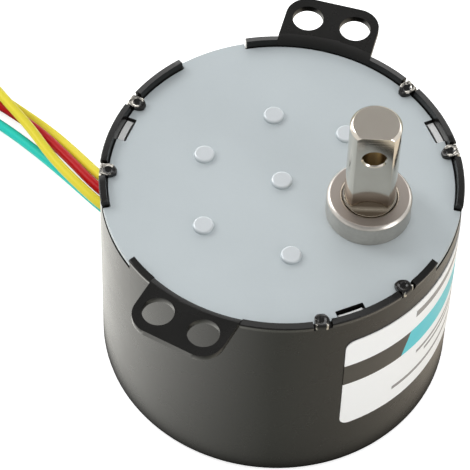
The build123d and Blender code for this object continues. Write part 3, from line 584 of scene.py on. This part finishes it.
for bar_height, bar_half, bar_place, bar_reach in bar_rows:
    row = add_node(tree, "ShaderNodeMath", {"operation": "COMPARE"}, {
        0: height, 1: bar_height, 2: bar_half})
    column = add_node(tree, "ShaderNodeMath", {"operation": "COMPARE"}, {
        0: along.outputs["Value"], 1: bar_place, 2: bar_reach})
    bar = add_node(tree, "ShaderNodeMath", {"operation": "MULTIPLY"}, {
        0: row.outputs["Value"], 1: column.outputs["Value"]})
    print_tone = add_node(tree, "ShaderNodeMix", {"data_type": "RGBA"}, {
        "Factor": bar.outputs["Value"], "A": print_tone.outputs["Result"], "B": linear("#8d8b89")})
wave = add_node(tree, "ShaderNodeTexNoise", inputs={
    "Vector": place, "Scale": 1 / film_wave, "Detail": 2.0})
gloss = add_node(tree, "ShaderNodeMapRange", inputs={
    "Value": wave.outputs["Fac"], "From Min": noise_low, "From Max": noise_high,
    "To Min": 0.3, "To Max": 0.38})
tree.links.new(print_tone.outputs["Result"], shader.inputs["Base Color"])
tree.links.new(gloss.outputs["Result"], shader.inputs["Roughness"])
shader.inputs["IOR"].default_value = 1.4
nodes["rating_label"].data.materials[0] = film

# Grommet: a block moulded with a rim in black nylon and pushed into the can's wall from outside. The
# leads pass out through it.

# Black nylon: satin, with the fine spark texture of the mould
black_nylon = grained_material("black_moulded_nylon", "#171718", "#212122",
                               grain=0.0003, roughness=0.48, metallic=0.0, relief=0.12)
nodes["lead_grommet"].data.materials[0] = black_nylon

# Leads: stranded copper in soft vinyl, 1.5 mm over the insulation. They leave the grommet in two rows,
# sag to the floor and end in a neat tied coil of the spare length, with their ends stripped and tinned.
lead_radius = 0.00075
exit_angle = radians(166)
exit_reach = 0.0266
exit_height = 0.0057
lead_pitch = 0.0019
lead_row = 0.0012
lead_out = 0.0032
lead_approach = 0.007
coil_middle = Vector((-0.08, 0.0205, 0.0009))
coil_heading = radians(150)
coil_pitch = 0.0024
points_per_turn = 24
haze_size = 0.004
strand_points = 12
strand_groove = 0.8
strand_angle = radians(50)
tip_radius = 0.00045
tip_length = 0.005
tip_steps = 14
tip_twist = radians(18)
tip_taper = 0.7
leads = {
    "yellow_back": {
        "colour": "#e3d53e", "slot": "lead_yellow", "column": -1, "row": 1, "coil": 0.012, "turns": 2,
        "length": 0.207,
        "route": ((-0.0326, 0.0109, 0.0062), (-0.0389, 0.0155, 0.0034), (-0.0449, 0.0192, 0.0014),
                  (-0.0532, 0.022, 0.0009), (-0.06, 0.0239, 0.0008)),
    },
    "red": {
        "colour": "#b00912", "slot": "lead_red", "column": 0, "row": 1, "coil": 0.010, "turns": 2.5,
        "length": 0.214,
        "route": ((-0.0328, 0.009, 0.0065), (-0.0391, 0.0134, 0.0046), (-0.0453, 0.0173, 0.0029),
                  (-0.0521, 0.0198, 0.0023), (-0.06, 0.022, 0.0013)),
    },
    "yellow_front": {
        "colour": "#e3d53e", "slot": "lead_yellow", "column": 1, "row": 1, "coil": 0.014, "turns": 1.75,
        "length": 0.211,
        "route": ((-0.0342, 0.0078, 0.0064), (-0.0406, 0.0117, 0.0053), (-0.0466, 0.0163, 0.0048),
                  (-0.0519, 0.0195, 0.0046), (-0.058, 0.024, 0.0032)),
    },
    "green": {
        "colour": "#2fcfc0", "slot": "lead_green", "column": 0.5, "row": -1, "coil": 0.008, "turns": 3,
        "length": 0.208,
        "route": ((-0.0329, 0.008, 0.0043), (-0.0392, 0.0117, 0.0027), (-0.0454, 0.0149, 0.0015),
                  (-0.0509, 0.0171, 0.001), (-0.0596, 0.0196, 0.0008)),
    },
}

# Tinned strands: bright grey solder over twisted wires
tinned = grained_material("tinned_copper_strands", "#a9a9a6", "#c9c9c6",
                          grain=0.0002, roughness=0.32, metallic=1.0, relief=0.1)

# One bare end, modelled upright: a grooved bundle that turns as it rises
bpy.ops.object.select_all(action="DESELECT")
bpy.ops.mesh.primitive_circle_add(vertices=strand_points, radius=tip_radius, fill_type="NGON")
strands = bpy.context.object
start_editing(strands)
half_round = strand_points / 2
pick_points(strands, lambda at: round(half_round * at.to_2d().angle_signed(Vector((0, 1))) / pi) % 2 == 1)
bpy.ops.transform.resize(value=(strand_groove, strand_groove, 1))
bpy.ops.mesh.select_all(action="SELECT")
for step in range(1, tip_steps + 1):
    lift = tip_length / tip_steps
    bpy.ops.mesh.extrude_region_move(TRANSFORM_OT_translate={"value": (0, 0, lift)})
    bpy.ops.transform.rotate(value=tip_twist, orient_axis="Z", center_override=(0, 0, step * lift))
bpy.ops.transform.resize(value=(tip_taper, tip_taper, 1), center_override=(0, 0, tip_length))
bpy.ops.mesh.select_all(action="SELECT")
bpy.ops.mesh.normals_make_consistent(inside=False)
bpy.ops.object.mode_set(mode="OBJECT")
bpy.ops.object.shade_smooth_by_angle(angle=strand_angle)
strands.data.materials.append(tinned)

vinyls = {}
out = flat_way(exit_angle)
across = flat_way(exit_angle + pi / 2)
heading = flat_way(coil_heading)
entry_angle = coil_heading - pi / 2
for name, lead in leads.items():
    exit_point = out * exit_reach + across * lead["column"] * lead_pitch
    exit_point.z = exit_height + lead["row"] * lead_row
    coil_start = coil_middle + flat_way(entry_angle) * lead["coil"] - heading * 2 * lead_radius
    points = [exit_point, exit_point + out * lead_out]
    points += [Vector(point) for point in lead["route"]]
    points += [coil_start - heading * lead_approach, coil_start]
    for number in range(round(points_per_turn * lead["turns"]) + 1):
        share = number / points_per_turn
        turn_way = flat_way(entry_angle + 2 * pi * share)
        points.append(coil_middle + turn_way * lead["coil"] + Vector((0, 0, coil_pitch * share)))
    last_way = flat_way(coil_heading + 2 * pi * lead["turns"])
    points.append(points[-1] + last_way * 2 * lead_radius)

    curve = bpy.data.curves.new(f"insulation_{name}", "CURVE")
    curve.dimensions = "3D"
    curve.bevel_depth = lead_radius
    curve.bevel_resolution = 5
    curve.resolution_u = 6
    curve.use_fill_caps = True
    spline = curve.splines.new("NURBS")
    spline.points.add(len(points) - 1)
    for control, point in zip(spline.points, points):
        control.co = (*point, 1)
    spline.order_u = 3
    spline.use_endpoint_u = True
    insulation = bpy.data.objects.new(f"insulation_{name}", curve)
    bpy.context.scene.collection.objects.link(insulation)

    # Soft vinyl: an even colour, glossy from the extruder's die, with a faint haze from handling
    if lead["slot"] not in vinyls:
        vinyl, tree, shader, place = new_material(f"soft_vinyl_{lead['slot'].removeprefix('lead_')}")
        haze = add_node(tree, "ShaderNodeTexNoise", inputs={
            "Vector": place, "Scale": 1 / haze_size, "Detail": 3.0})
        gloss = add_node(tree, "ShaderNodeMapRange", inputs={
            "Value": haze.outputs["Fac"], "From Min": noise_low, "From Max": noise_high,
            "To Min": 0.3, "To Max": 0.42})
        tree.links.new(gloss.outputs["Result"], shader.inputs["Roughness"])
        shader.inputs["Base Color"].default_value = linear(lead["colour"])
        shader.inputs["IOR"].default_value = 1.2
        vinyls[lead["slot"]] = vinyl
    curve.materials.append(vinyls[lead["slot"]])

    tip = bpy.data.objects.new(f"tip_{name}", strands.data.copy())
    bpy.context.scene.collection.objects.link(tip)
    tip_turn = last_way.to_track_quat("Z", "X").to_matrix().to_4x4()
    tip.data.transform(Matrix.Translation(points[-1]) @ tip_turn)
    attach(tip, "case")
    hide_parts("lead_tips")
    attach(insulation, "case")
    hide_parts(f"lead_{name}", f"coil_{name}")
bpy.data.objects.remove(strands)

# Tie: a flat band moulded in natural nylon, laid round the coil's turns. It keeps the spare length of
# the leads together.
nodes["lead_tie"].data.materials[0] = natural_nylon

# Studio: a pale floor, evenly white to the camera, that shows mirrors a painted reflection and a painted
# contact shadow, a white room with a darker ceiling and a bright back wall, and soft lamps on the left
# behind the motor, overhead, and in front on the right.
camera_turn = radians(20.4)
view_turn = Matrix.Rotation(camera_turn, 4, "Z")
floor_size = 3.0
floor_gap = 0.00005
floor_glow = 0.65
# Painted reflection: how brightly the floor glows to mirrors, from side to side and with distance from
# the motor
painted_reflection_reach = 0.03
painted_reflection_tones = ("#a89a8c", "#777770", "#fffdf9")
painted_reflection_gain = 1.5
painted_reflection_near = 0.06
painted_reflection_far = 0.1
painted_contact_shade_reach = 0.003
painted_contact_shade_dark = 0.55
painted_contact_shade_open = 0.9
wall_levels = ((0.1, 0.2), (0.2, 0.29), (0.65, 0.29), (0.87, 1.0))
wall_glow = 3.5
wall_end = 0.5
ceiling_start = 0.64
ceiling_level = 0.36
room_level = 0.5
lamps = {
    "left_lamp": {"place": (-0.75, 0.35, 0.55), "size": 0.5, "power": 4.8},
    "top_lamp": {"place": (0.0, 0.0, 0.95), "size": 0.7, "power": 2.2},
    "front_lamp": {"place": (0.6, -0.45, 0.35), "size": 0.4, "power": 1.5},
}
bpy.ops.object.select_all(action="DESELECT")
bpy.ops.mesh.primitive_plane_add(size=floor_size, location=(0, 0, -floor_gap))
floor = bpy.context.object
floor.name = "floor"

# White paper: matt and evenly white to the camera. To mirrors it shows a painted reflection, bright on
# the left and dim on the right, and a painted contact shadow where the motor touches it.
paper_floor, tree, shader, place = new_material("white_paper_floor")
shader.inputs["Roughness"].default_value = 0.9
ray = add_node(tree, "ShaderNodeLightPath")
mirrored = add_node(tree, "ShaderNodeMath", {"operation": "MAXIMUM"}, {
    0: ray.outputs["Is Glossy Ray"], 1: ray.outputs["Is Transmission Ray"]})
# Painted contact shadow: occlusion near the motor blackens the floor as mirrors see it
contact = add_node(tree, "ShaderNodeAmbientOcclusion", inputs={"Distance": painted_contact_shade_reach})
open_floor = add_node(tree, "ShaderNodeMapRange", inputs={
    "Value": contact.outputs["AO"], "From Min": painted_contact_shade_dark, "From Max": painted_contact_shade_open})
painted_reflection_base = add_node(tree, "ShaderNodeMix", {"data_type": "RGBA"}, {
    "Factor": open_floor.outputs["Result"], "A": linear("#000000"), "B": linear("#b2b3a7")})
tone = add_node(tree, "ShaderNodeMix", {"data_type": "RGBA"}, {
    "Factor": mirrored.outputs["Value"], "A": linear("#f4f4f4"), "B": painted_reflection_base.outputs["Result"]})
tree.links.new(tone.outputs["Result"], shader.inputs["Base Color"])
seen = add_node(tree, "ShaderNodeMath", {"operation": "MULTIPLY"}, {
    0: ray.outputs["Is Camera Ray"], 1: floor_glow})
white = add_node(tree, "ShaderNodeEmission", inputs={"Strength": seen.outputs["Value"]})
# Painted reflection: to mirrors the floor glows bright on the motor's left and dim on its right, fading
# away from it
leftward = add_node(tree, "ShaderNodeVectorMath", {"operation": "DOT_PRODUCT"}, {
    0: place, 1: view_turn @ Vector((-1, 0, 0))})
sideways = add_node(tree, "ShaderNodeMapRange", inputs={
    "Value": leftward.outputs["Value"], "From Min": -painted_reflection_reach, "From Max": painted_reflection_reach})
ramp = add_node(tree, "ShaderNodeValToRGB", inputs={"Fac": sideways.outputs["Result"]})
ramp.color_ramp.elements.new(0.5)
for stop, colour in zip(ramp.color_ramp.elements, painted_reflection_tones):
    stop.color = linear(colour)
away = add_node(tree, "ShaderNodeVectorMath", {"operation": "LENGTH"}, {0: place})
near = add_node(tree, "ShaderNodeMapRange", inputs={
    "Value": away.outputs["Value"], "From Min": painted_reflection_near, "From Max": painted_reflection_far,
    "To Min": painted_reflection_gain, "To Max": 0.0})
level = add_node(tree, "ShaderNodeMath", {"operation": "MULTIPLY"}, {
    0: near.outputs["Result"], 1: mirrored.outputs["Value"]})
level = add_node(tree, "ShaderNodeMath", {"operation": "MULTIPLY"}, {
    0: level.outputs["Value"], 1: open_floor.outputs["Result"]})
glow = add_node(tree, "ShaderNodeEmission", inputs={
    "Color": ramp.outputs["Color"], "Strength": level.outputs["Value"]})
paper_and_painted_reflection = add_node(tree, "ShaderNodeAddShader", inputs={
    0: shader.outputs["BSDF"], 1: glow.outputs["Emission"]})
paper_and_painted_reflection = add_node(tree, "ShaderNodeAddShader", inputs={
    0: paper_and_painted_reflection.outputs["Shader"], 1: white.outputs["Emission"]})
tree.links.new(paper_and_painted_reflection.outputs["Shader"], tree.nodes["Material Output"].inputs["Surface"])
floor.data.materials.append(paper_floor)

# White room: plain white to the camera, and to a mirror a back wall that is brighter than the rest
world = bpy.data.worlds.new("white_room")
bpy.context.scene.world = world
world.use_nodes = True
tree = world.node_tree
ray = add_node(tree, "ShaderNodeLightPath")
way = add_node(tree, "ShaderNodeTexCoord")
parts = add_node(tree, "ShaderNodeSeparateXYZ", inputs={"Vector": way.outputs["Generated"]})
backward = add_node(tree, "ShaderNodeVectorMath", {"operation": "DOT_PRODUCT"}, {
    0: way.outputs["Generated"], 1: view_turn @ Vector((0, 1, 0))})
around = add_node(tree, "ShaderNodeMapRange", inputs={
    "Value": backward.outputs["Value"], "From Min": -1.0, "From Max": 1.0})
ramp = add_node(tree, "ShaderNodeValToRGB", inputs={"Fac": around.outputs["Result"]})
for _ in range(len(wall_levels) - 2):
    ramp.color_ramp.elements.new(0.5)
for stop, (turn, share) in zip(ramp.color_ramp.elements, wall_levels):
    stop.position = turn
    stop.color = (share, share, share, 1)
wall = add_node(tree, "ShaderNodeMath", {"operation": "MULTIPLY"}, {
    0: ramp.outputs["Color"], 1: wall_glow})
ceiling = add_node(tree, "ShaderNodeMapRange", inputs={
    "Value": parts.outputs["Z"], "From Min": wall_end, "From Max": ceiling_start,
    "To Min": wall.outputs["Value"], "To Max": ceiling_level})
mirrored = add_node(tree, "ShaderNodeMath", {"operation": "MAXIMUM"}, {
    0: ray.outputs["Is Glossy Ray"], 1: ray.outputs["Is Transmission Ray"]})
lit = add_node(tree, "ShaderNodeMix", inputs={
    "Factor": mirrored.outputs["Value"], "A": room_level, "B": ceiling.outputs["Result"]})
seen = add_node(tree, "ShaderNodeMath", {"operation": "MAXIMUM"}, {
    0: lit.outputs["Result"], 1: ray.outputs["Is Camera Ray"]})
tree.links.new(seen.outputs["Value"], tree.nodes["Background"].inputs["Strength"])
tree.nodes["Background"].inputs["Color"].default_value = (1, 1, 1, 1)

for name, settings in lamps.items():
    lamp = bpy.data.lights.new(name, "AREA")
    lamp.shape = "DISK"
    lamp.size = settings["size"]
    lamp.energy = settings["power"]
    lamp_object = bpy.data.objects.new(name, lamp)
    bpy.context.scene.collection.objects.link(lamp_object)
    lamp_place = view_turn @ Vector(settings["place"])
    lamp_turn = lamp_place.to_track_quat("Z", "Y").to_matrix().to_4x4()
    lamp_object.matrix_world = Matrix.Translation(lamp_place) @ lamp_turn

# Camera: at the photograph's height and distance, with its slight roll. Its long lens gives the
# photograph's perspective.
camera_tilt = radians(90 - 54.349)
camera_roll = radians(2.09)
camera_place = Vector((-0.00567, 0.013254, 0.435498))
camera = bpy.data.cameras.new("camera")
camera.sensor_width = 36.0
camera.lens = 226.617
camera_object = bpy.data.objects.new("camera", camera)
bpy.context.scene.collection.objects.link(camera_object)
camera_object.matrix_world = (view_turn @ Matrix.Rotation(camera_tilt, 4, "X")
                              @ Matrix.Rotation(camera_roll, 4, "Z") @ Matrix.Translation(camera_place))
bpy.context.scene.camera = camera_object
bpy.context.scene.view_settings.view_transform = "Standard"
